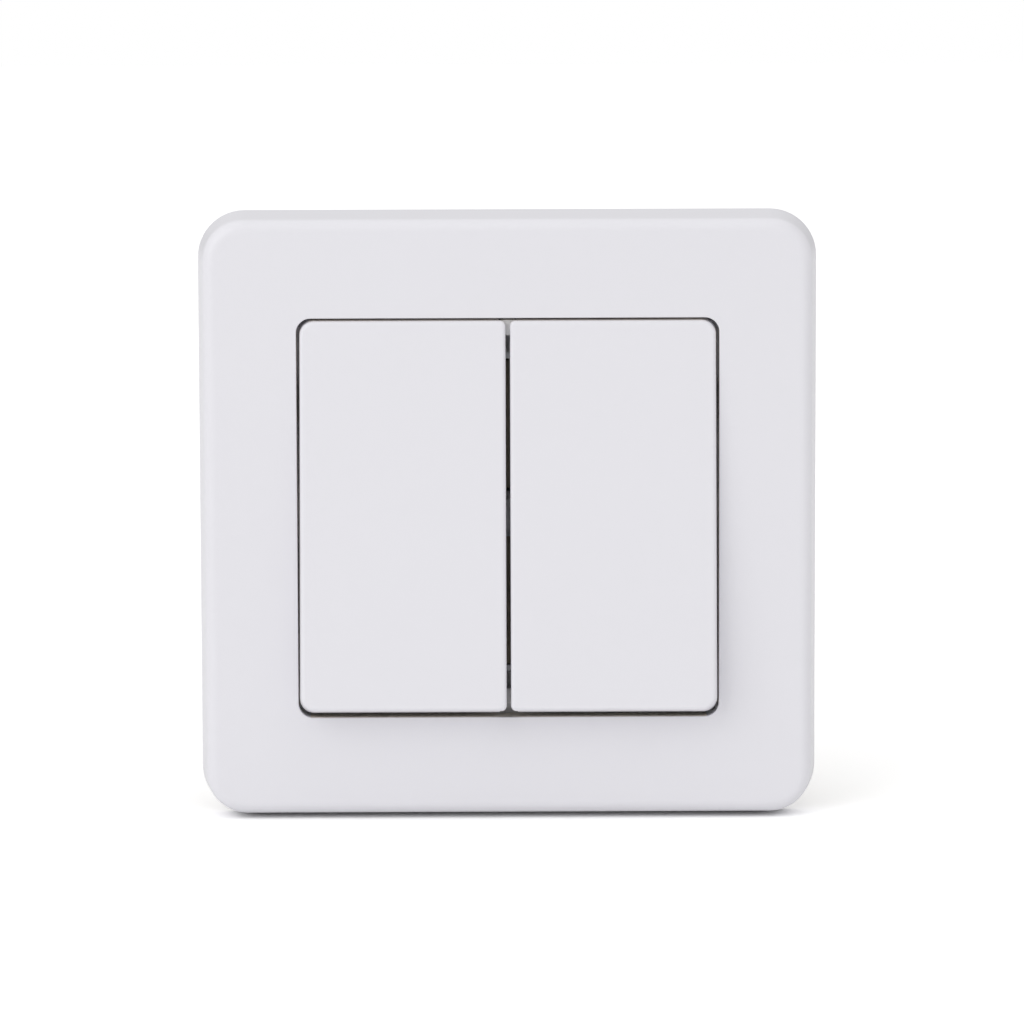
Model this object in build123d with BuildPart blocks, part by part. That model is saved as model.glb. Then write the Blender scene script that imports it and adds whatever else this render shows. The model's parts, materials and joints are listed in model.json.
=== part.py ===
from build123d import *
from math import cos, hypot, radians, sin, tan
import os

# Two-gang rocker light switch for a flush wall box, in millimetres.
# The wall is the plane y = 0, the room lies towards -Y and the box towards +Y, with +Z up.
# A height is a distance in front of the wall; pieces inside the box have negative heights.
# Both rockers are shown pressed in at the top, as they come to rest.

os.makedirs("parts", exist_ok=True)

# Cover frame
frame_width = 81.6
frame_height = 80.4
frame_depth = 7.0
frame_corner = 6.2
frame_draft = 7.5
frame_edge_round = 1.6
frame_wall = 1.8
side_border = 13.05
end_border = 13.7
window_corner = 1.9
window_edge_round = 0.15
collar_wall = 1.3
collar_height = 3.6
rib_thickness = 1.0
rib_inset = 2.55
clip_leg_width = 5.4
clip_leg_spacing = 30.0
clip_nub_depth = 0.9

# Rocker caps
rocker_gap = 0.58
rocker_side_clearance = 0.13
rocker_end_clearance = 0.26
rocker_side_draft = 4.1
rocker_end_draft = 7.0
rocker_face_rise = 2.2
rocker_swing = 9.0
rocker_skirt = 5.0
rocker_wall = 1.4
rocker_face_thickness = 1.6
rocker_edge_round = 0.5
rocker_inner_corner = 0.7
rocker_rib = 1.0
notch_face = 0.8
cap_leg_width = 3.8
cap_leg_thickness = 1.2
cap_leg_spacing = 16.0
cap_hook = 0.5

# Actuators under the caps
pivot_height = 1.6
trunnion_radius = 1.25
trunnion_clearance = 0.06
trunnion_length = 1.6
actuator_width = 15.1
actuator_length = 20.0
actuator_plate = 1.4
actuator_plate_rise = 2.6
hub_radius = 2.3
tube_radius = 2.7
tube_length = 7.5
plunger_radius = 1.72
plunger_clearance = 0.08
plunger_reach = 10.6
plunger_length = 6.0
plunger_tip_radius = 1.1
plunger_tip_length = 1.6
plunger_travel = 0.5
spigot_radius = 0.95
spigot_length = 1.4
spring_wire = 0.4
spring_turns = 5
spring_depth = 1.2

# Support ring
ring_side_inset = 5.3
ring_end_inset = 4.7
ring_corner = 5.0
ring_thickness = 1.0
ring_opening_chamfer = 10.0
fixing_inset = 5.5
fixing_radius = 1.8
slot_length = 7.0
tongue_height = 3.2
tongue_width = 7.0

# Bearing frame
bearing_side_inset = 2.15
bearing_end_inset = 3.0
bearing_corner = 2.5
flange_side_overlap = 4.1
flange_end_overlap = 3.0
bearing_flange = 1.6
bearing_collar_depth = 3.0
bearing_wall = 1.8
seat_clearance = 0.2
centre_post_width = 6.0
centre_post_length = 4.2
end_post_width = 1.8
end_post_length = 2.0
upper_post_inset = 1.35
lower_post_inset = 2.35
upper_post_height = 6.1
lower_post_height = 4.2
opening_length = 23.0
collar_pocket_width = 8.4
collar_pocket_length = 5.0
skirt_slot = 4.4
skirt_groove = 1.1

# Contact base
base_rim = 1.5
base_depth = 22.0
base_wall = 1.6
divider_thickness = 1.6
rivet_inset = 3.1
rivet_radius = 1.2
rivet_head_radius = 2.0
rivet_head_height = 0.5
rivet_clearance = 0.05
rivet_grip_depth = 6.0
rivet_well_radius = 2.4
rivet_well_wall = 0.8
core_width = 8.0
core_length = 14.0
core_depth = 6.0

# Contacts and terminals
contact_clearance = 0.3
seesaw_thickness = 0.8
seesaw_width = 5.0
seesaw_length = 16.0
ear_width = 7.2
ear_length = 2.0
contact_radius = 1.4
contact_head = 0.9
shank_radius = 0.7
strip_thickness = 1.0
strip_width = 5.0
cross_bar_length = 4.0
ridge_length = 1.0
upright_thickness = 0.8
upright_length = 6.0
clamp_width = 6.8
clamp_length = 7.0
wire_radius = 1.6
wire_depth = 5.5
wire_entry_radius = 2.0
screw_radius = 1.45
screw_head_radius = 2.1
screw_head_height = 1.6
screw_slot = 0.6
screw_slot_depth = 0.9
screw_clearance = 0.05
access_clearance = 0.2

# Places worked out from the sizes above
SIDES = {"left": -1, "right": 1}
rest_tilt = radians(rocker_swing / 2)
window_width = frame_width - 2 * side_border
window_height = frame_height - 2 * end_border
ring_width = frame_width - 2 * ring_side_inset
ring_height = frame_height - 2 * ring_end_inset
fixing_spacing_x = ring_width - 2 * fixing_inset
fixing_spacing_z = ring_height - 2 * fixing_inset
bearing_width = window_width - 2 * bearing_side_inset
bearing_height = window_height - 2 * bearing_end_inset
ring_opening_width = bearing_width - 2 * flange_side_overlap
ring_opening_height = bearing_height - 2 * flange_end_overlap
upper_post_z = window_height / 2 - upper_post_inset
lower_post_z = lower_post_inset - window_height / 2
base_width = ring_opening_width + 2 * base_rim
base_height = ring_opening_height + 2 * base_rim
rivet_spacing_x = ring_opening_width - 2 * rivet_inset
rivet_spacing_z = ring_opening_height - 2 * rivet_inset
base_circle = hypot(rivet_spacing_x, rivet_spacing_z) / 2 + rivet_well_radius + rivet_well_wall
contact_offset = seesaw_length / 2 - contact_radius
clamp_offset = (ring_opening_height - clamp_length) / 2 - contact_clearance
face_height = frame_depth + rocker_face_rise
face_offset = face_height - pivot_height
cap_width = (window_width - 2 * rocker_side_clearance - rocker_gap) / 2
cap_length = window_height - 2 * rocker_end_clearance
bearing_front = ring_thickness + bearing_flange
collar_width = ring_opening_width - 2 * seat_clearance
collar_length = ring_opening_height - 2 * seat_clearance
inner_reach = centre_post_width / 2 + seat_clearance
actuator_x = inner_reach + seat_clearance + actuator_width / 2
outer_bearing_x = actuator_x + actuator_width / 2 + seat_clearance
tube_bore = plunger_radius + plunger_clearance
seesaw_height = pivot_height - plunger_reach - contact_clearance - seesaw_thickness
contact_lean = contact_offset * sin(rest_tilt) + contact_head * cos(rest_tilt)
contact_height = seesaw_height - contact_lean - contact_clearance
strip_height = contact_height - contact_head
clamp_front = strip_height - strip_thickness
clamp_depth = base_depth - base_wall + clamp_front
contact_z = -contact_offset * cos(rest_tilt) + contact_head * sin(rest_tilt)
clip_face = window_width / 2 + collar_wall
slot_start = centre_post_length / 2 + bearing_wall / 2
slot_end = ring_opening_height / 2 + bearing_wall / 2

ROCKER = Plane(
    origin=(0, -pivot_height, 0),
    x_dir=(1, 0, 0),
    z_dir=(0, -cos(rest_tilt), sin(rest_tilt)),
)
SEESAW = Plane(
    origin=(0, -seesaw_height, 0),
    x_dir=(1, 0, 0),
    z_dir=(0, -cos(rest_tilt), -sin(rest_tilt)),
)


def wall(height):
    """The plane parallel to the wall at a height in front of it."""
    return Plane.XZ.offset(height)


def save(piece, name):
    """Label a finished piece and write it."""
    piece.part.label = name
    export_step(piece.part, f"parts/{name}.step")


# Cover frame: a moulded shell with a window, a collar round it, ribs and four clip legs
def make_cover_frame():
    hollow_depth = frame_depth - frame_wall
    leg_height = ring_thickness + contact_clearance
    with BuildPart() as cover:
        with BuildSketch(wall(0)):
            RectangleRounded(frame_width, frame_height, frame_corner)
        extrude(amount=frame_depth, taper=frame_draft)
        fillet(cover.faces().sort_by(Axis.Y)[0].edges(), frame_edge_round)
        with BuildSketch(wall(0)):
            RectangleRounded(
                frame_width - 2 * frame_wall,
                frame_height - 2 * frame_wall,
                frame_corner - frame_wall,
            )
        extrude(amount=hollow_depth, taper=frame_draft, mode=Mode.SUBTRACT)
        with BuildSketch(wall(collar_height)):
            RectangleRounded(
                window_width + 2 * collar_wall,
                window_height + 2 * collar_wall,
                window_corner + collar_wall,
            )
        extrude(amount=hollow_depth - collar_height)
        # Ribs run from the collar to the outer wall, clear of the fixing screws
        with BuildSketch(wall(leg_height)):
            side_rib = (frame_width - window_width) / 2 - frame_wall - collar_wall / 2
            end_rib = (frame_height - window_height) / 2 - frame_wall - collar_wall / 2
            rib_z = window_height / 2 - rib_inset
            with GridLocations(window_width + collar_wall + side_rib, 2 * rib_z, 2, 2):
                Rectangle(side_rib, rib_thickness)
            with GridLocations(clip_leg_spacing, window_height + collar_wall + end_rib, 2, 2):
                Rectangle(rib_thickness, end_rib)
        extrude(amount=hollow_depth - leg_height)
        # Clip legs with their nubs hook under the tongues of the support ring
        with BuildSketch(wall(leg_height)):
            with GridLocations(2 * clip_face - collar_wall, clip_leg_spacing, 2, 2):
                Rectangle(collar_wall, clip_leg_width)
        extrude(amount=collar_height - leg_height)
        with BuildSketch(wall(ring_thickness + tongue_height / 2 - clip_nub_depth / 2)):
            with GridLocations(2 * clip_face, clip_leg_spacing, 2, 2):
                Rectangle(clip_nub_depth, clip_leg_width / 2)
        extrude(amount=clip_nub_depth, taper=15)
        with BuildSketch(wall(0)):
            RectangleRounded(window_width, window_height, window_corner)
        extrude(amount=frame_depth, mode=Mode.SUBTRACT)
        fillet(cover.faces().sort_by(Axis.Y)[0].inner_wires()[0].edges(), window_edge_round)
    save(cover, "cover_frame")


# Support ring: stamped steel with fixing holes and slots and four bent tongues for the frame
def make_support_ring():
    tongue_x = clip_face + seat_clearance + ring_thickness / 2
    punch_x = tongue_x + ring_thickness / 2 + tongue_height / 2
    with BuildPart() as ring:
        with BuildSketch(wall(0)):
            RectangleRounded(ring_width, ring_height, ring_corner)
            with BuildSketch(mode=Mode.PRIVATE) as opening:
                Rectangle(ring_opening_width, ring_opening_height)
                chamfer(opening.vertices(), ring_opening_chamfer)
            add(opening.sketch, mode=Mode.SUBTRACT)
            with GridLocations(fixing_spacing_x, 0, 2, 1):
                Circle(fixing_radius, mode=Mode.SUBTRACT)
            with GridLocations(0, fixing_spacing_z, 1, 2):
                SlotOverall(slot_length, 2 * fixing_radius, mode=Mode.SUBTRACT)
            with GridLocations(2 * punch_x, clip_leg_spacing, 2, 2):
                Rectangle(tongue_height, tongue_width, mode=Mode.SUBTRACT)
            with GridLocations(rivet_spacing_x, rivet_spacing_z, 2, 2):
                Circle(rivet_radius + rivet_clearance, mode=Mode.SUBTRACT)
        extrude(amount=ring_thickness)
        with BuildSketch(wall(ring_thickness)):
            with GridLocations(2 * tongue_x, clip_leg_spacing, 2, 2):
                Rectangle(ring_thickness, tongue_width)
        extrude(amount=tongue_height)
        # The window in each tongue takes the nub of a clip leg
        with BuildSketch(Plane.YZ.offset(-tongue_x - ring_thickness)):
            nub_y = -ring_thickness - tongue_height / 2
            with Locations((nub_y, -clip_leg_spacing / 2), (nub_y, clip_leg_spacing / 2)):
                Rectangle(
                    clip_nub_depth + 2 * seat_clearance,
                    clip_leg_width / 2 + 2 * seat_clearance,
                )
        extrude(amount=2 * (tongue_x + ring_thickness), mode=Mode.SUBTRACT)
    save(ring, "support_ring")


# Bearing frame: the white moulding in front of the ring that carries both actuators
def make_bearing_frame():
    bore_radius = trunnion_radius + trunnion_clearance
    cheek_height = pivot_height + bore_radius + bearing_wall / 2
    opening_x = (inner_reach + outer_bearing_x) / 2
    opening_width = outer_bearing_x - inner_reach
    with BuildPart() as bearing:
        with BuildSketch(wall(ring_thickness)):
            RectangleRounded(bearing_width, bearing_height, bearing_corner)
            with Locations((0, (upper_post_z + lower_post_z) / 2)):
                Rectangle(end_post_width, upper_post_z - lower_post_z + end_post_length)
        extrude(amount=bearing_flange)
        # The collar behind the flange sits in the opening of the ring
        with BuildSketch(wall(ring_thickness)):
            Rectangle(collar_width, collar_length)
            chamfer(vertices(), ring_opening_chamfer)
        extrude(amount=-bearing_collar_depth)
        with BuildSketch(wall(ring_thickness - bearing_collar_depth)):
            with Locations((-opening_x, 0), (opening_x, 0)):
                Rectangle(opening_width, opening_length)
        extrude(amount=bearing_front + bearing_collar_depth, mode=Mode.SUBTRACT)
        # Pockets lighten the collar, and a slot takes the inner skirts of both caps
        with BuildSketch(wall(ring_thickness - bearing_collar_depth)):
            pocket_x = inner_reach + collar_pocket_width / 2
            pocket_z = opening_length / 2 + bearing_wall + collar_pocket_length / 2
            with GridLocations(2 * pocket_x, 2 * pocket_z, 2, 2):
                Rectangle(collar_pocket_width, collar_pocket_length)
        extrude(amount=bearing_collar_depth, mode=Mode.SUBTRACT)
        with BuildSketch(wall(ring_thickness - bearing_collar_depth)):
            with GridLocations(0, slot_start + slot_end, 1, 2):
                Rectangle(skirt_slot, slot_end - slot_start)
        extrude(amount=bearing_front + bearing_collar_depth, mode=Mode.SUBTRACT)
        with BuildSketch(wall(bearing_front)):
            with GridLocations(0, slot_start + bearing_height / 2, 1, 2):
                Rectangle(skirt_slot, bearing_height / 2 - slot_start)
        extrude(amount=-skirt_groove, mode=Mode.SUBTRACT)
        # Cheeks and centre post stand in front of the flange, end posts show in the gap
        with BuildSketch(wall(ring_thickness)):
            Rectangle(centre_post_width, centre_post_length)
            with GridLocations(2 * outer_bearing_x + bearing_wall, 0, 2, 1):
                Rectangle(bearing_wall, centre_post_length)
        extrude(amount=cheek_height - ring_thickness)
        for post_z, post_height in (
            (upper_post_z, upper_post_height),
            (lower_post_z, lower_post_height),
        ):
            with BuildSketch(wall(ring_thickness)):
                with Locations((0, post_z)):
                    Rectangle(end_post_width, end_post_length)
            extrude(amount=post_height - ring_thickness)
        # Trunnion bores, open towards the box so that the actuators drop in from behind
        for side in SIDES.values():
            reach = actuator_width + 2 * (trunnion_length + seat_clearance)
            start = side * actuator_x - reach / 2
            with BuildSketch(Plane.YZ.offset(start)):
                with Locations((-pivot_height, 0)):
                    Circle(bore_radius)
                with Locations((-pivot_height / 2 + bearing_collar_depth / 2, 0)):
                    Rectangle(pivot_height + bearing_collar_depth, 2 * bore_radius)
            extrude(amount=reach, mode=Mode.SUBTRACT)
        with BuildSketch(wall(bearing_front)):
            with GridLocations(rivet_spacing_x, rivet_spacing_z, 2, 2):
                Circle(rivet_radius + rivet_clearance)
        extrude(amount=-bearing_flange, mode=Mode.SUBTRACT)
    save(bearing, "bearing_frame")


# Rocker caps: thin moulded covers with a skirt, ribs and two hooked legs
def make_rocker_cap(name, side):
    face_width = cap_width - rocker_skirt * tan(radians(rocker_side_draft))
    face_length = cap_length - 2 * rocker_skirt * tan(radians(rocker_end_draft))
    underside = face_offset - rocker_face_thickness
    plate_front = actuator_plate_rise + actuator_plate
    leg_root = actuator_plate_rise - seat_clearance - cap_leg_thickness
    with BuildPart() as cap:
        # The outer side and the ends lean in towards the face
        for height, width, length in (
            (face_offset - rocker_skirt, cap_width, cap_length),
            (face_offset, face_width, face_length),
        ):
            with BuildSketch(ROCKER.offset(height)):
                with Locations((side * (rocker_gap + width) / 2, 0)):
                    Rectangle(width, length)
                fillet(vertices().group_by(Axis.X)[::side][-1], window_corner)
                fillet(vertices().group_by(Axis.X)[::side][0], rocker_inner_corner)
        loft()
        fillet(cap.faces().sort_by(Axis((0, 0, 0), (0, -1, 0)))[-1].edges(), rocker_edge_round)
        with BuildSketch(ROCKER.offset(face_offset - rocker_skirt)):
            with Locations((side * (rocker_gap + face_width) / 2, 0)):
                Rectangle(face_width - 2 * rocker_wall, face_length - 2 * rocker_wall)
        extrude(amount=rocker_skirt - rocker_face_thickness, mode=Mode.SUBTRACT)
        # Notches at both ends clear the end posts
        with BuildSketch(ROCKER.offset(face_offset - rocker_skirt)):
            with GridLocations(0, face_length - end_post_length, 1, 2):
                Rectangle(
                    end_post_width + 2 * contact_clearance,
                    end_post_length + 2 * rocker_wall,
                )
        extrude(amount=rocker_skirt - notch_face, mode=Mode.SUBTRACT)
        # Long stiffening ribs, deeper where they seat on the actuator
        with BuildSketch(ROCKER.offset(underside - rocker_rib)):
            with Locations((side * actuator_x, 0)):
                with GridLocations(actuator_width * 2 / 3, 0, 2, 1):
                    Rectangle(rocker_rib, cap_length - rocker_wall)
        extrude(amount=rocker_rib)
        with BuildSketch(ROCKER.offset(plate_front)):
            with Locations((side * actuator_x, 0)):
                with GridLocations(actuator_width * 2 / 3, 0, 2, 1):
                    Rectangle(rocker_rib, actuator_length)
        extrude(amount=underside - plate_front)
        # Hooked legs pass through the actuator plate
        with BuildSketch(ROCKER.offset(leg_root)):
            with Locations((side * actuator_x, 0)):
                with GridLocations(0, cap_leg_spacing, 1, 2):
                    Rectangle(cap_leg_width, cap_leg_thickness)
        extrude(amount=underside - leg_root)
        with BuildSketch(ROCKER.offset(leg_root)):
            with Locations((side * actuator_x, 0)):
                with GridLocations(0, cap_leg_spacing + cap_hook, 1, 2):
                    Rectangle(cap_leg_width, cap_leg_thickness + cap_hook)
        extrude(amount=cap_leg_thickness)
    save(cap, name)


# Actuators: the tilting levers with trunnions, a plate for the cap and a plunger tube
def make_actuator(name, side):
    with BuildPart() as actuator:
        with BuildSketch(ROCKER.offset(actuator_plate_rise)):
            with Locations((side * actuator_x, 0)):
                Rectangle(actuator_width, actuator_length)
                with GridLocations(0, cap_leg_spacing, 1, 2):
                    Rectangle(
                        cap_leg_width + 2 * seat_clearance,
                        cap_leg_thickness + 2 * seat_clearance,
                        mode=Mode.SUBTRACT,
                    )
        extrude(amount=actuator_plate)
        start = side * actuator_x - actuator_width / 2
        with BuildSketch(Plane.YZ.offset(start)):
            with Locations((-pivot_height, 0)):
                Circle(hub_radius)
        extrude(amount=actuator_width)
        with BuildSketch(ROCKER):
            with Locations((side * actuator_x, 0)):
                Rectangle(actuator_width, 2 * trunnion_radius)
        extrude(amount=actuator_plate_rise)
        with BuildSketch(Plane.YZ.offset(start - trunnion_length)):
            with Locations((-pivot_height, 0)):
                Circle(trunnion_radius)
        extrude(amount=actuator_width + 2 * trunnion_length)
        with BuildSketch(ROCKER.offset(-tube_length)):
            with Locations((side * actuator_x, 0)):
                Circle(tube_radius)
        extrude(amount=tube_length + actuator_plate_rise)
        with BuildSketch(ROCKER.offset(-tube_length)):
            with Locations((side * actuator_x, 0)):
                Circle(tube_bore)
        extrude(amount=tube_length + spring_depth, mode=Mode.SUBTRACT)
    save(actuator, name)


# Plungers slide in the tubes and push the seesaws over
def make_plunger(name, side):
    shoulder = plunger_length - plunger_reach
    with BuildPart() as plunger:
        with BuildSketch(ROCKER.offset(shoulder)):
            with Locations((side * actuator_x, 0)):
                Circle(plunger_radius)
        extrude(amount=plunger_tip_length - plunger_length)
        with BuildSketch(ROCKER.offset(shoulder)):
            with Locations((side * actuator_x, 0)):
                Circle(spigot_radius)
        extrude(amount=spigot_length)
        with BuildSketch(ROCKER.offset(plunger_tip_length - plunger_reach)):
            with Locations((side * actuator_x, 0)):
                Circle(plunger_tip_radius)
        extrude(amount=-plunger_tip_length)
        fillet(plunger.faces().sort_by(Axis.Y)[-1].edges(), plunger_tip_radius * 0.8)
    save(plunger, name)


# Springs press the plungers out of the tubes
def make_spring(name, side):
    coil_radius = tube_bore - spring_wire / 2 - plunger_clearance
    shoulder = plunger_length - plunger_reach
    free_end = shoulder + plunger_travel + plunger_clearance
    height = spring_depth - free_end - spring_wire
    foot = ROCKER.offset(free_end + spring_wire / 2)
    with BuildPart() as spring:
        with BuildLine():
            coil = Helix(
                pitch=height / spring_turns,
                height=height,
                radius=coil_radius,
                center=foot.from_local_coords((side * actuator_x, 0, 0)),
                direction=foot.z_dir,
            )
        with BuildSketch(Plane(origin=coil @ 0, z_dir=coil % 0)):
            Circle(spring_wire / 2)
        sweep(path=coil, is_frenet=True)
    save(spring, name)


# Seesaws: the moving contact plates, each with a contact rivet at its lower end
def make_seesaw(name, side):
    with BuildPart() as seesaw:
        with BuildSketch(SEESAW):
            with Locations((side * actuator_x, 0)):
                Rectangle(seesaw_width, seesaw_length)
                Rectangle(ear_width, ear_length)
            with Locations((side * actuator_x, -contact_offset)):
                Circle(shank_radius + screw_clearance, mode=Mode.SUBTRACT)
        extrude(amount=seesaw_thickness)
    save(seesaw, name)


def make_moving_contact(name, side):
    with BuildPart() as contact:
        with BuildSketch(SEESAW):
            with Locations((side * actuator_x, -contact_offset)):
                Circle(contact_radius)
        extrude(amount=-contact_head)
        fillet(contact.edges().sort_by(Axis.Y)[-1], contact_head / 3)
        with BuildSketch(SEESAW):
            with Locations((side * actuator_x, -contact_offset)):
                Circle(shank_radius)
        extrude(amount=seesaw_thickness)
    save(contact, name)


# Fixed contacts and the strips that lead to the output clamps
def make_fixed_contact(name, side):
    with BuildPart() as contact:
        with BuildSketch(wall(strip_height)):
            with Locations((side * actuator_x, contact_z)):
                Circle(contact_radius)
        extrude(amount=contact_head)
        fillet(contact.edges().sort_by(Axis.Y)[0], contact_head / 3)
        with BuildSketch(wall(strip_height)):
            with Locations((side * actuator_x, contact_z)):
                Circle(shank_radius)
        extrude(amount=-strip_thickness)
    save(contact, name)


def make_output_strip(name, side):
    foot_z = -clamp_offset - clamp_length / 2
    head_z = contact_z + contact_radius
    with BuildPart() as strip:
        with BuildSketch(wall(strip_height)):
            with Locations((side * actuator_x, (foot_z + head_z) / 2)):
                Rectangle(strip_width, head_z - foot_z)
            with Locations((side * actuator_x, contact_z)):
                Circle(shank_radius + screw_clearance, mode=Mode.SUBTRACT)
        extrude(amount=-strip_thickness)
    save(strip, name)


# Common bar: a T of brass with a ridge and two notched uprights under each seesaw
def make_common_bar():
    ridge_height = seesaw_height - contact_clearance
    bar_length = 2 * actuator_x + ear_width
    upright_x = (seesaw_width + upright_thickness) / 2 + contact_clearance
    upright_height = seesaw_height + seesaw_thickness + contact_clearance
    with BuildPart() as bar:
        with BuildSketch(wall(strip_height)):
            Rectangle(bar_length, cross_bar_length)
            with Locations((0, (clamp_offset + clamp_length / 2) / 2)):
                Rectangle(strip_width, clamp_offset + clamp_length / 2)
            with GridLocations(2 * actuator_x, 0, 2, 1):
                Rectangle(2 * upright_x + upright_thickness, upright_length)
        extrude(amount=-strip_thickness)
        with BuildSketch(wall(strip_height)):
            with GridLocations(2 * actuator_x, 0, 2, 1):
                Rectangle(strip_width, ridge_length)
        extrude(amount=ridge_height - strip_height)
        with BuildSketch(wall(strip_height)):
            with GridLocations(2 * actuator_x, 0, 2, 1):
                with GridLocations(2 * upright_x, 0, 2, 1):
                    Rectangle(upright_thickness, upright_length)
        extrude(amount=upright_height - strip_height)
        with BuildSketch(Plane.YZ.offset(-bar_length)):
            with Locations((-(upright_height + ridge_height) / 2, 0)):
                Rectangle(upright_height - ridge_height, ear_length + 4 * contact_clearance)
        extrude(amount=2 * bar_length, mode=Mode.SUBTRACT)
    save(bar, "common_bar")


# Clamps: brass blocks with a wire bore from behind and a screw from the edge of the base
def make_clamp(name, x, end):
    centre_z = end * clamp_offset
    with BuildPart() as clamp:
        with BuildSketch(wall(clamp_front)):
            with Locations((x, centre_z)):
                Rectangle(clamp_width, clamp_length)
        extrude(amount=-clamp_depth)
        chamfer(clamp.edges().filter_by(Axis.Y), 0.5)
        with BuildSketch(wall(clamp_front - clamp_depth)):
            with Locations((x, centre_z)):
                Circle(wire_radius)
        extrude(amount=wire_depth, mode=Mode.SUBTRACT)
        with BuildSketch(Plane.XY.offset(centre_z)):
            with Locations((x, screw_depth())):
                Circle(screw_radius + screw_clearance)
        extrude(amount=end * clamp_length / 2, mode=Mode.SUBTRACT)
    save(clamp, name)


def screw_depth():
    """How far behind the wall the clamp screws stand: half way along the wire bore."""
    return base_depth - base_wall - wire_depth / 2


def make_terminal_screws():
    tip_z = clamp_offset + wire_radius + contact_clearance
    head_z = base_height / 2 - screw_head_height
    with BuildPart() as screws:
        for x, end in clamp_places():
            with BuildSketch(Plane.XY.offset(end * tip_z)):
                with Locations((x, screw_depth())):
                    Circle(screw_radius)
            extrude(amount=end * (head_z - tip_z))
            with BuildSketch(Plane.XY.offset(end * head_z)):
                with Locations((x, screw_depth())):
                    Circle(screw_head_radius)
            extrude(amount=end * screw_head_height)
            with BuildSketch(Plane.XY.offset(end * base_height / 2)):
                with Locations((x, screw_depth())):
                    Rectangle(2 * screw_head_radius, screw_slot)
            extrude(amount=-end * screw_slot_depth, mode=Mode.SUBTRACT)
    save(screws, "terminal_screws")


def clamp_places():
    """Each clamp's place along X and the end of the base that it stands at."""
    return [(0, 1), (-actuator_x, -1), (actuator_x, -1)]


# Contact base: the insulating housing behind the ring
def make_contact_base():
    floor_height = clamp_front
    well_depth = base_depth - rivet_grip_depth
    divider_start = cross_bar_length / 2 + seat_clearance
    divider_length = ring_opening_height / 2 - divider_start
    divider_front = ring_thickness - bearing_collar_depth - seat_clearance
    crest_start = slot_start + seat_clearance
    crest_end = ring_opening_height / 2 - seat_clearance
    crest_height = ring_thickness - seat_clearance
    with BuildPart() as base:
        with BuildSketch(wall(0)):
            Rectangle(base_width, base_height)
            Circle(base_circle, mode=Mode.INTERSECT)
        extrude(amount=-base_depth)
        with BuildSketch(wall(0)):
            Rectangle(ring_opening_width, ring_opening_height)
            chamfer(vertices(), ring_opening_chamfer)
        extrude(amount=floor_height, mode=Mode.SUBTRACT)
        # Dividers keep the two switching chambers apart, with a crest in the slot behind the gap
        for end, divider_back in ((1, strip_height + seat_clearance), (-1, floor_height)):
            with BuildSketch(wall(divider_back)):
                with Locations((0, end * (divider_start + divider_length / 2))):
                    Rectangle(divider_thickness, divider_length)
            extrude(amount=divider_front - divider_back)
            with BuildSketch(wall(divider_front)):
                with Locations((0, end * (crest_start + crest_end) / 2)):
                    Rectangle(divider_thickness, crest_end - crest_start)
            extrude(amount=crest_height - divider_front)
        # Clamp pockets, wire entries and screw accesses
        for x, end in clamp_places():
            with BuildSketch(wall(strip_height + seat_clearance)):
                with Locations((x, end * clamp_offset)):
                    Rectangle(clamp_width + 2 * seat_clearance, clamp_length + 2 * seat_clearance)
            extrude(amount=-clamp_depth - strip_thickness - seat_clearance, mode=Mode.SUBTRACT)
            with BuildSketch(wall(-base_depth)):
                with Locations((x, end * clamp_offset)):
                    Circle(wire_entry_radius)
            extrude(amount=base_wall, mode=Mode.SUBTRACT)
            with BuildSketch(Plane.XY.offset(end * base_height / 2)):
                with Locations((x, screw_depth())):
                    Circle(screw_head_radius + access_clearance)
            extrude(amount=-end * (base_height / 2 - clamp_offset), mode=Mode.SUBTRACT)
        # Cored pockets in the back and wells for the rivets
        with BuildSketch(wall(-base_depth)):
            with Locations((-actuator_x, core_length / 3), (actuator_x, core_length / 3)):
                RectangleRounded(core_width, core_length, 1)
        extrude(amount=core_depth, mode=Mode.SUBTRACT)
        with BuildSketch(wall(-base_depth)):
            with GridLocations(rivet_spacing_x, rivet_spacing_z, 2, 2):
                Circle(rivet_well_radius)
        extrude(amount=well_depth, mode=Mode.SUBTRACT)
        with BuildSketch(wall(0)):
            with GridLocations(rivet_spacing_x, rivet_spacing_z, 2, 2):
                Circle(rivet_radius + rivet_clearance)
        extrude(amount=-base_depth, mode=Mode.SUBTRACT)
    save(base, "contact_base")


# Rivets: four, through the bearing frame, the ring and the base
def make_housing_rivets():
    with BuildPart() as rivets:
        with BuildSketch(wall(bearing_front)):
            with GridLocations(rivet_spacing_x, rivet_spacing_z, 2, 2):
                Circle(rivet_head_radius)
        extrude(amount=rivet_head_height)
        with BuildSketch(wall(bearing_front)):
            with GridLocations(rivet_spacing_x, rivet_spacing_z, 2, 2):
                Circle(rivet_radius)
        extrude(amount=-bearing_front - rivet_grip_depth)
        with BuildSketch(wall(-rivet_grip_depth)):
            with GridLocations(rivet_spacing_x, rivet_spacing_z, 2, 2):
                Circle(rivet_head_radius)
        extrude(amount=-rivet_head_height)
    save(rivets, "housing_rivets")


make_cover_frame()
make_support_ring()
make_bearing_frame()
make_contact_base()
make_housing_rivets()
make_common_bar()
make_terminal_screws()
make_clamp("common_clamp", 0, 1)
for side_name, side_sign in SIDES.items():
    make_rocker_cap(f"{side_name}_rocker", side_sign)
    make_actuator(f"{side_name}_actuator", side_sign)
    make_plunger(f"{side_name}_plunger", side_sign)
    make_spring(f"{side_name}_spring", side_sign)
    make_seesaw(f"{side_name}_seesaw", side_sign)
    make_moving_contact(f"{side_name}_moving_contact", side_sign)
    make_fixed_contact(f"{side_name}_fixed_contact", side_sign)
    make_output_strip(f"{side_name}_output_strip", side_sign)
    make_clamp(f"{side_name}_clamp", side_sign * actuator_x, -1)
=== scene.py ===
import json
import math

import bpy
from mathutils import Matrix, Vector


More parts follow.
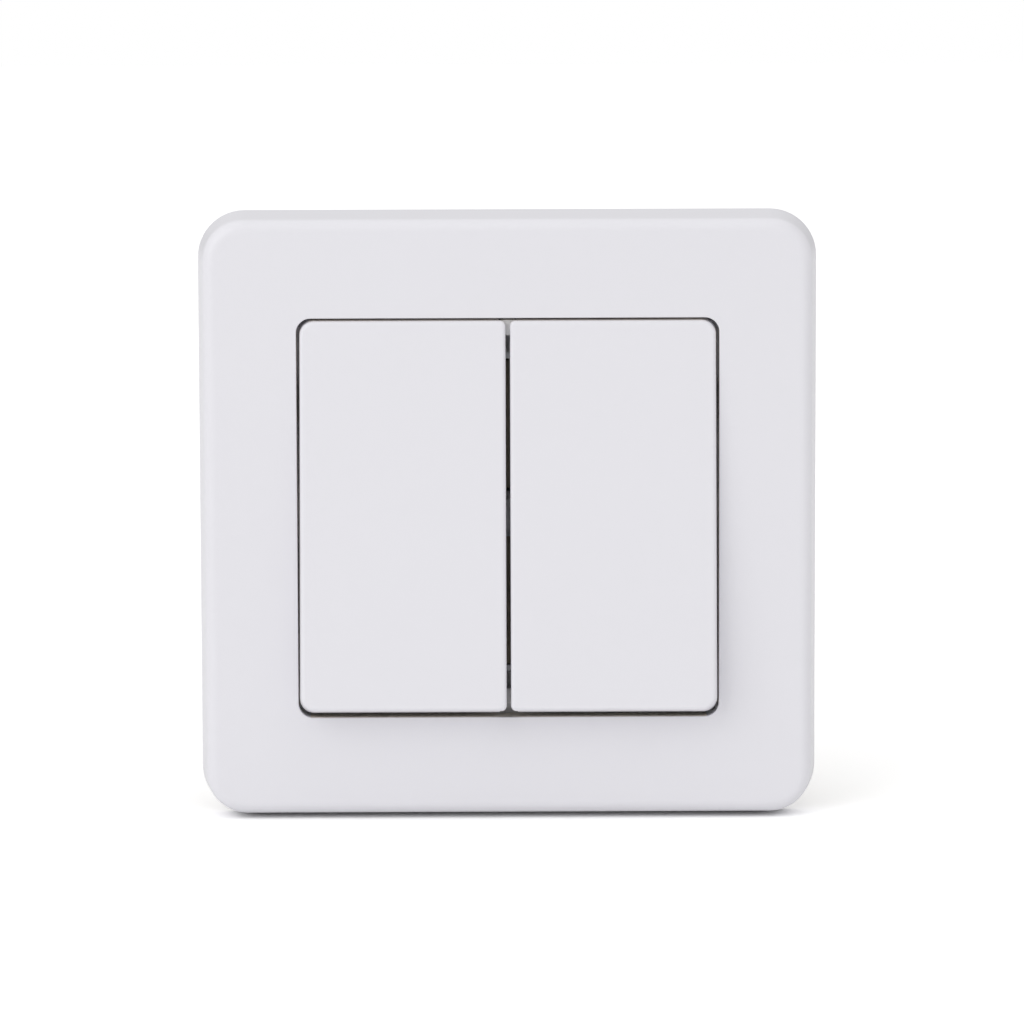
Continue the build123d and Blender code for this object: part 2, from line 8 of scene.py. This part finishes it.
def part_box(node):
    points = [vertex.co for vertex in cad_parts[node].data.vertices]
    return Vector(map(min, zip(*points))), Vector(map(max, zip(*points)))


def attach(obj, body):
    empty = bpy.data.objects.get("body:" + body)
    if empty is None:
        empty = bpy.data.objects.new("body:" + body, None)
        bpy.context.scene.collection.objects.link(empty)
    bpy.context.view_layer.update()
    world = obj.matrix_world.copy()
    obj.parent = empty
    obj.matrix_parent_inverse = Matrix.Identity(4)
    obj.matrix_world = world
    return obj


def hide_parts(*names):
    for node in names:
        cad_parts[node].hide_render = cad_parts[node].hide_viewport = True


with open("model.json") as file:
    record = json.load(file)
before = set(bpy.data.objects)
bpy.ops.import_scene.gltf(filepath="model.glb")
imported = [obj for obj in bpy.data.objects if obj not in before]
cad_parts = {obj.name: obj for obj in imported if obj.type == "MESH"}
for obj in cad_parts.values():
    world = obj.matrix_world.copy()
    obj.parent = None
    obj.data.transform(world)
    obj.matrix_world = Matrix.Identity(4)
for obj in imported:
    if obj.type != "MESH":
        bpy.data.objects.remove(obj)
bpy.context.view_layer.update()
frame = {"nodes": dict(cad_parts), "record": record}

# Two-gang rocker light switch, standing on the bottom edge of its cover frame on a white table.
# All lengths are in metres: +X to the right, +Y into the wall, +Z up.

MM = 0.001
table_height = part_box("cover_frame")[0].z

# Camera: a long lens less than a metre away, a little above the switch
CAMERA_DISTANCE = 0.83
CAMERA_AZIMUTH = -0.338
CAMERA_ELEVATION = 7.868
CAMERA_YAW = -0.376
CAMERA_PITCH = 7.8755
CAMERA_ROLL = 0.163
FOCAL_PIXELS = 6255.0
PHOTO_PIXELS = 1024
SENSOR_WIDTH = 36.0
CAMERA_CLIP = (0.01, 20.0)

# Light: pale surroundings, brighter above, in front and a little on the right, and a soft box on the left
TENT_LEVEL = 0.505
TENT_FRONT = 0.12
TENT_TOP = 0.49
TENT_RIGHT = 0.04
KEY_SIDE = 43.0
KEY_HEIGHT = 25.0
KEY_DISTANCE = 1.6
KEY_SIZE = 1.35
KEY_POWER = 6.9
FLOOR_WHITE = 0.95
FLOOR_LIFT = 0.36
MIRROR_SHARE = 0.06
FLOOR_SIZE = 3.0

# Covers, inner mouldings and the painted light on the walls of the cover frame's window, whose sizes are in
# millimetres
COVER_WHITE = (0.795, 0.787, 0.826)
INSERT_WHITE = (0.775, 0.775, 0.785)
# Painted light: the window's walls get a paler, warmer colour than the plastic, for light that leaks and
# bounces into them
WALL_PAINTED_LIGHT = (0.97, 0.88, 0.75)
WINDOW_REACH = (27.75, 26.5)
WINDOW_FRONT = -6.85
WALL_MIDDLE = 1.023
WALL_BAND = 0.0245

# Terminal screws, in millimetres, and how far each slot is turned, in degrees
SCREW_RADIUS = 1.45
SCREW_PITCH = 0.5
SCREW_THREAD = 0.26
SCREW_SHANK = 1.8
SCREW_CHAMFER = 0.3
SCREW_HEAD_RADIUS = 2.1
SCREW_HEAD = 1.6
SCREW_HEAD_CHAMFER = 0.14
SCREW_SLOT = 0.6
SCREW_SLOT_DEPTH = 0.9
SCREW_SLOT_BEVEL = 0.04
SCREW_CREST = 1.25
SCREW_SIDES = 48
SCREW_STEP = 0.05
SCREW_TURNS = (9.0, -16.0, 24.0)
SCREW_CREASE = 35.0


class Link:
    """A shader socket that can stand in a sum, so that 1 - mask adds the Math nodes it needs."""

    def __init__(self, tree, socket):
        self.tree = tree
        self.socket = socket

    def math(self, operation, first, second):
        return self.tree.node("ShaderNodeMath", {"operation": operation}, {0: first, 1: second})

    def __add__(self, other):
        return self.math("ADD", self, other)

    def __sub__(self, other):
        return self.math("SUBTRACT", self, other)

    def __rsub__(self, other):
        return self.math("SUBTRACT", other, self)

    def __mul__(self, other):
        return self.math("MULTIPLY", self, other)

    def __truediv__(self, other):
        return self.math("DIVIDE", self, other)

    def __rtruediv__(self, other):
        return self.math("DIVIDE", other, self)

    __radd__ = __add__
    __rmul__ = __mul__


class Tree:
    """The nodes of a material or of the world."""

    def __init__(self, holder, output):
        holder.use_nodes = True
        self.nodes = holder.node_tree.nodes
        self.links = holder.node_tree.links
        self.nodes.clear()
        self.output = self.nodes.new(output)

    def node(self, kind, settings=None, inputs=None, out=0):
        """Add a node: its settings first, then its sockets' values or links. Gives one output."""
        made = self.nodes.new(kind)
        for key, value in (settings or {}).items():
            if key == "stops":
                self.set_stops(made.color_ramp, value)
            else:
                setattr(made, key, value)
        for key, value in (inputs or {}).items():
            socket = made.inputs[key]
            if isinstance(value, Link):
                self.links.new(value.socket, socket)
            else:
                socket.default_value = value
        return Link(self, made.outputs[out])

    def set_stops(self, ramp, stops):
        """Give a colour ramp its stops, each a place and a grey or a colour."""
        while len(ramp.elements) < len(stops):
            ramp.elements.new(1.0)
        for element, (place, value) in zip(ramp.elements, stops):
            element.position = place
            element.color = (*value, 1.0) if isinstance(value, tuple) else (value, value, value, 1.0)

    def end(self, shader):
        """Link the last shader to the output."""
        self.links.new(shader.socket, self.output.inputs["Surface"])


class Finish(Tree):
    """A procedural material for one of the switch's finishes."""

    def __init__(self, name):
        self.material = bpy.data.materials.new(name)
        super().__init__(self.material, "ShaderNodeOutputMaterial")

    def place(self, stretch=(1.0, 1.0, 1.0)):
        """Where a point lies on its piece, in millimetres."""
        here = self.node("ShaderNodeTexCoord", out="Object")
        scale = tuple(s / MM for s in stretch)
        return self.node("ShaderNodeVectorMath", {"operation": "MULTIPLY"}, {0: here, 1: scale})

    def noise(self, size, detail=2.0, stretch=(1.0, 1.0, 1.0), roughness=0.5):
        """Cloudy noise whose lumps are about size millimetres across."""
        return self.node(
            "ShaderNodeTexNoise",
            None,
            {
                "Vector": self.place(stretch),
                "Scale": 1.0 / size,
                "Detail": detail,
                "Roughness": roughness,
            },
            "Fac",
        )

    def mix(self, amount, first, second):
        """A colour between two colours."""
        return self.node(
            "ShaderNodeMix",
            {"data_type": "RGBA"},
            {"Factor": amount, "A": colour(first), "B": colour(second)},
            "Result",
        )

    def bump(self, height, depth, strength=1.0):
        """A normal from a height map whose full range is depth millimetres."""
        inputs = {"Height": height, "Distance": depth * MM, "Strength": strength}
        return self.node("ShaderNodeBump", None, inputs, "Normal")

    def surface(self, **sockets):
        """End the material in one principled surface."""
        inputs = {key.replace("_", " ").title().replace("Ior", "IOR"): sockets[key] for key in sockets}
        self.end(self.node("ShaderNodeBsdfPrincipled", None, inputs))
        return self.material


def colour(value):
    """A colour socket's value: links pass, three numbers get an alpha."""
    return (*value, 1.0) if isinstance(value, tuple) and len(value) == 3 else value


# Finishes

def painted_light_walls(f):
    """A mask that is 1 on the walls of the cover frame's window, clear of its face and the rockers.

    It marks where painted light goes. Its ways out are shares of the window's half width and half height.
    """
    across, back, up = (f.node("ShaderNodeSeparateXYZ", None, {0: f.place()}, axis) for axis in "XYZ")
    x_share, z_share = (
        f.node("ShaderNodeMath", {"operation": "ABSOLUTE"}, {0: way}) / reach
        for way, reach in ((across, WINDOW_REACH[0]), (up, WINDOW_REACH[1]))
    )
    outward = f.node("ShaderNodeMath", {"operation": "MAXIMUM"}, {0: x_share, 1: z_share})
    wall = f.node("ShaderNodeMath", {"operation": "COMPARE"}, {0: outward, 1: WALL_MIDDLE, 2: WALL_BAND})
    behind = f.node("ShaderNodeMath", {"operation": "GREATER_THAN"}, {0: back, 1: WINDOW_FRONT})
    return wall * behind


def satin_white_plastic(name, tone, gloss):
    """Moulded white cover plastic: faint cloudiness, a fine eroded grain and a soft gloss.

    The walls of the window are painted paler and warmer. This is painted light, standing in for light that
    leaks through the plastic and bounces in the crevices.
    """
    f = Finish(name)
    clouds = f.noise(22.0, 3.0)
    grain = f.noise(0.16, 2.0)
    dimple = f.noise(3.5, 2.0)
    shade = tuple(c * 0.992 for c in tone)
    return f.surface(
        # Painted light: the window's walls are painted paler and warmer than the plastic
        base_color=f.mix(painted_light_walls(f), f.mix(clouds, shade, tone), WALL_PAINTED_LIGHT),
        roughness=gloss + (grain - 0.5) * 0.06 + (clouds - 0.5) * 0.03,
        ior=1.49,
        specular_ior_level=0.36,
        normal=f.bump(grain * 0.8 + dimple * 0.2, 0.0012),
    )


def matt_white_plastic(name, tone):
    """The inner white mouldings: duller, a touch greyer in the hollows of the grain."""
    f = Finish(name)
    grain = f.noise(0.3, 3.0)
    clouds = f.noise(9.0, 2.0)
    shade = tuple(c * 0.95 for c in tone)
    return f.surface(
        base_color=f.mix(clouds * 0.6 + grain * 0.4, shade, tone),
        roughness=0.5 + (grain - 0.5) * 0.14,
        ior=1.49,
        normal=f.bump(grain, 0.02),
    )


def brown_moulding(name):
    """Heat-proof moulding compound: light brown with pale filler specks and flow marks."""
    f = Finish(name)
    flow = f.noise(6.0, 4.0, (1.0, 1.0, 0.35))
    cells = {"Vector": f.place(), "Scale": 1.6}
    specks = f.node("ShaderNodeTexVoronoi", {"feature": "F1"}, cells, "Distance")
    speck_mask = f.node("ShaderNodeValToRGB", {"stops": [(0.06, 1.0), (0.16, 0.0)]}, {"Fac": specks})
    grain = f.noise(0.35, 3.0)
    ground = f.mix(flow, (0.50, 0.43, 0.335), (0.57, 0.50, 0.40))
    return f.surface(
        base_color=f.mix(speck_mask * 0.35, ground, (0.68, 0.62, 0.53)),
        roughness=0.47 + (flow - 0.5) * 0.2,
        ior=1.55,
        normal=f.bump(grain * 0.6 + flow * 0.4, 0.03),
    )


def slippery_plastic(name):
    """The plungers' natural plastic, slightly waxy."""
    f = Finish(name)
    clouds = f.noise(2.0, 2.0)
    return f.surface(
        base_color=f.mix(clouds, (0.58, 0.55, 0.48), (0.66, 0.64, 0.57)),
        roughness=0.38 + (clouds - 0.5) * 0.1,
        ior=1.48,
        normal=f.bump(clouds, 0.01),
    )


def plated_steel(name, tone, dull=0.36):
    """Zinc plated sheet: rolling lines along X, cloudy passivation and small scuffs."""
    f = Finish(name)
    rolling = f.noise(0.12, 2.0, (0.04, 1.0, 1.0))
    clouds = f.noise(7.0, 4.0)
    scuffs = f.noise(1.1, 5.0, (0.4, 1.0, 1.0), 0.7)
    dark = tuple(c * 0.78 for c in tone)
    return f.surface(
        base_color=f.mix(clouds * 0.7 + scuffs * 0.3, dark, tone),
        metallic=1.0,
        roughness=dull + (clouds - 0.5) * 0.16 + (rolling - 0.5) * 0.12,
        normal=f.bump(rolling * 0.6 + scuffs * 0.4, 0.006),
    )


def drawn_metal(name, tone, dull, size=0.5):
    """Turned, drawn or stamped small metal: fine scratches and a tarnished ground."""
    f = Finish(name)
    scratches = f.noise(size * 0.2, 2.0, (1.0, 0.15, 1.0))
    tarnish = f.noise(size * 5, 4.0)
    dark = tuple(c * 0.7 for c in tone)
    return f.surface(
        base_color=f.mix(tarnish, dark, tone),
        metallic=1.0,
        roughness=dull + (tarnish - 0.5) * 0.2 + (scratches - 0.5) * 0.1,
        normal=f.bump(scratches, 0.004),
    )


def make_finishes():
    """One material for each slot of the record."""
    return {
        "white_cover": satin_white_plastic("white_cover", COVER_WHITE, 0.33),
        "white_insert": matt_white_plastic("white_insert", INSERT_WHITE),
        "brown_base": brown_moulding("brown_base"),
        "plunger_plastic": slippery_plastic("plunger_plastic"),
        "zinc_steel": plated_steel("zinc_steel", (0.64, 0.65, 0.68)),
        "nickel_rivet": drawn_metal("nickel_rivet", (0.66, 0.63, 0.58), 0.3),
        "screw_steel": drawn_metal("screw_steel", (0.72, 0.66, 0.48), 0.33),
        "spring_steel": drawn_metal("spring_steel", (0.55, 0.55, 0.56), 0.28),
        "brass_strip": drawn_metal("brass_strip", (0.80, 0.58, 0.27), 0.3, 1.0),
        "brass_clamp": drawn_metal("brass_clamp", (0.82, 0.60, 0.28), 0.26),
        "copper_plate": drawn_metal("copper_plate", (0.80, 0.47, 0.32), 0.3),
        "silver_contact": drawn_metal("silver_contact", (0.86, 0.85, 0.82), 0.25),
    }


def dress_cad_nodes(finishes):
    """Give each piece the material of its slot."""
    for row in frame["record"]["subparts"]:
        piece = frame["nodes"][row["node"]]
        piece.data.materials.clear()
        piece.data.materials.append(finishes[row["material_slot"]])


# Terminal screws, with the threads and chamfers that the solids leave out

def band(points, rings):
    """Faces between rings of points that have the same number of points, with both ends closed."""
    faces = []
    count = len(rings[0])
    first = len(points)
    for ring in rings:
        points.extend(ring)
    for level in range(len(rings) - 1):
        low = first + level * count
        for i in range(count):
            j = (i + 1) % count
            faces.append((low + i, low + j, low + count + j, low + count + i))
    faces.append(tuple(range(first + count - 1, first - 1, -1)))
    top = first + (len(rings) - 1) * count
    faces.append(tuple(range(top, top + count)))
    return faces


def thread_ring(height):
    """A ring of the shank at a height, standing out where the thread's crest passes."""
    ring = []
    from_tip = height + SCREW_HEAD + SCREW_SHANK
    limit = SCREW_RADIUS - max(0.0, SCREW_CHAMFER - from_tip)
    for i in range(SCREW_SIDES):
        turn = i / SCREW_SIDES
        phase = (height / SCREW_PITCH - turn) % 1.0
        crest = min(1.0, SCREW_CREST * (1.0 - abs(2.0 * phase - 1.0)))
        radius = min(limit, SCREW_RADIUS - SCREW_THREAD * (1.0 - crest))
        angle = 2.0 * math.pi * turn
        ring.append((radius * math.cos(angle), radius * math.sin(angle), height))
    return ring


def round_ring(radius, height):
    """A plain round ring."""
    angles = [2.0 * math.pi * i / SCREW_SIDES for i in range(SCREW_SIDES)]
    return [(radius * math.cos(a), radius * math.sin(a), height) for a in angles]


def half_head_ring(radius, inset, height, side):
    """The outline of the head on one side of the slot."""
    start = math.asin(inset / radius)
    steps = SCREW_SIDES // 2
    angles = [start + (math.pi - 2.0 * start) * i / steps for i in range(steps + 1)]
    return [(side * radius * math.cos(a), side * radius * math.sin(a), height) for a in angles]


def make_screw(points):
    """One slotted clamp screw, its head's top at zero and its tip below."""
    levels = round(SCREW_SHANK / SCREW_STEP)
    shank = [thread_ring(-SCREW_HEAD - SCREW_SHANK + i * SCREW_STEP) for i in range(levels + 1)]
    faces = band(points, shank)
    wide, rim = SCREW_HEAD_RADIUS, SCREW_HEAD_RADIUS - SCREW_HEAD_CHAMFER
    floor, half_slot = -SCREW_SLOT_DEPTH, SCREW_SLOT / 2
    lower = [(rim, -SCREW_HEAD), (wide, SCREW_HEAD_CHAMFER - SCREW_HEAD), (wide, floor)]
    faces += band(points, [round_ring(radius, height) for radius, height in lower])
    upper = [
        (wide, half_slot, floor),
        (wide, half_slot, -SCREW_HEAD_CHAMFER),
        (rim, half_slot + SCREW_SLOT_BEVEL, 0.0),
    ]
    for side in (-1, 1):
        faces += band(points, [half_head_ring(*size, side) for size in upper])
    return faces


def make_terminal_screws(finish):
    """Three screws in the places of the solids' screws, each turned a little differently."""
    low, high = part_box("terminal_screws")
    depth = (low.y + high.y) / 2
    side_x = high.x - SCREW_HEAD_RADIUS * MM
    points, faces = [], []
    for (x, end), turn in zip(((0.0, 1), (-side_x, -1), (side_x, -1)), SCREW_TURNS):
        first = len(points)
        faces += make_screw(points)
        place = Matrix.Translation((x, depth, high.z if end > 0 else low.z))
        facing = Matrix.Rotation(0.0 if end > 0 else math.pi, 4, "X")
        seat = place @ facing @ Matrix.Rotation(math.radians(turn), 4, "Z")
        points[first:] = [seat @ (Vector(p) * MM) for p in points[first:]]
    mesh = bpy.data.meshes.new("terminal_screw_detail")
    mesh.from_pydata(points, [], faces)
    mesh.shade_smooth()
    mesh.set_sharp_from_angle(angle=math.radians(SCREW_CREASE))
    mesh.materials.append(finish)
    piece = bpy.data.objects.new("terminal_screw_detail", mesh)
    bpy.context.scene.collection.objects.link(piece)
    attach(piece, "housing")
    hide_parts("terminal_screws")


# Stage

def seen_share(tree):
    """How far a ray sees the plain white background: the camera's and glass's fully, a gloss's in part."""
    camera, glossy, through = (
        tree.node("ShaderNodeLightPath", out=f"Is {ray} Ray") for ray in ("Camera", "Glossy", "Transmission")
    )
    return camera + through + glossy * MIRROR_SHARE


def table_finish():
    """White table: matt, and lifted to paper white where the camera, glass or a mirror sees it."""
    f = Finish("table_white")
    paper = f.noise(4.0, 3.0)
    white = f.mix(paper, (FLOOR_WHITE - 0.01,) * 3, (FLOOR_WHITE,) * 3)
    lifted = f.mix(seen_share(f), (0.0,) * 3, (FLOOR_LIFT,) * 3)
    cloth, lift = (f.node("ShaderNodeBsdfDiffuse", None, {"Color": c}) for c in (white, lifted))
    f.end(f.node("ShaderNodeAddShader", None, {0: cloth, 1: lift}))
    return f.material


def make_floor():
    """A flat white table under the bottom edge of the cover frame."""
    mesh = bpy.data.meshes.new("table")
    half = FLOOR_SIZE / 2
    corners = [(x, y, table_height) for x, y in ((-half, -half), (half, -half), (half, half), (-half, half))]
    mesh.from_pydata(corners, [], [(0, 1, 2, 3)])
    mesh.materials.append(table_finish())
    table = bpy.data.objects.new("table", mesh)
    bpy.context.scene.collection.objects.link(table)


def make_world():
    """White surroundings that light the switch softly and show as plain white."""
    world = bpy.data.worlds.new("white_tent")
    bpy.context.scene.world = world
    tree = Tree(world, "ShaderNodeOutputWorld")
    towards = tree.node("ShaderNodeTexCoord", out="Generated")
    right, back, top = (tree.node("ShaderNodeSeparateXYZ", None, {0: towards}, axis) for axis in "XYZ")
    tent = TENT_LEVEL + right * TENT_RIGHT - back * TENT_FRONT + top * TENT_TOP
    lit = tree.node("ShaderNodeBackground", None, {"Color": tent})
    shown = tree.node("ShaderNodeBackground", None, {"Color": (1.0, 1.0, 1.0, 1.0)})
    tree.end(tree.node("ShaderNodeMixShader", None, {0: seen_share(tree), 1: lit, 2: shown}))


def make_key_light():
    """A large soft box on the left, that draws the shadow on the right of the rockers."""
    lamp = bpy.data.lights.new("soft_box", "AREA")
    lamp.shape = "SQUARE"
    lamp.size = KEY_SIZE
    lamp.energy = KEY_POWER
    key = bpy.data.objects.new("soft_box", lamp)
    side, height = math.radians(KEY_SIDE), math.radians(KEY_HEIGHT)
    towards = Vector(
        (
            -math.sin(side) * math.cos(height),
            -math.cos(side) * math.cos(height),
            math.sin(height),
        )
    )
    key.location = towards * KEY_DISTANCE
    key.rotation_mode = "QUATERNION"
    key.rotation_quaternion = towards.to_track_quat("Z", "Y")
    bpy.context.scene.collection.objects.link(key)


def make_camera():
    """The photograph's view, from a camera fitted to the edges of frame, window and rockers."""
    data = bpy.data.cameras.new("camera")
    data.sensor_width = SENSOR_WIDTH
    data.lens = FOCAL_PIXELS / PHOTO_PIXELS * SENSOR_WIDTH
    data.clip_start, data.clip_end = CAMERA_CLIP
    camera = bpy.data.objects.new("camera", data)
    azimuth, elevation = math.radians(CAMERA_AZIMUTH), math.radians(CAMERA_ELEVATION)
    yaw, pitch, roll = (math.radians(a) for a in (CAMERA_YAW, CAMERA_PITCH, CAMERA_ROLL))
    right = Vector((math.cos(yaw), math.sin(yaw), 0.0))
    ahead = Vector((-math.sin(yaw) * math.cos(pitch), math.cos(yaw) * math.cos(pitch), -math.sin(pitch)))
    down = ahead.cross(right)
    rolled_right = right * math.cos(roll) + down * math.sin(roll)
    rolled_down = down * math.cos(roll) - right * math.sin(roll)
    turn = Matrix((rolled_right, -rolled_down, -ahead)).transposed().to_4x4()
    place = CAMERA_DISTANCE * Vector(
        (
            math.sin(azimuth) * math.cos(elevation),
            -math.cos(azimuth) * math.cos(elevation),
            math.sin(elevation),
        )
    )
    camera.matrix_world = Matrix.Translation(place) @ turn
    bpy.context.scene.collection.objects.link(camera)
    bpy.context.scene.camera = camera


bpy.context.scene.view_settings.view_transform = "Standard"
make_camera()
make_world()
make_key_light()
make_floor()
finishes = make_finishes()
dress_cad_nodes(finishes)
make_terminal_screws(finishes["screw_steel"])
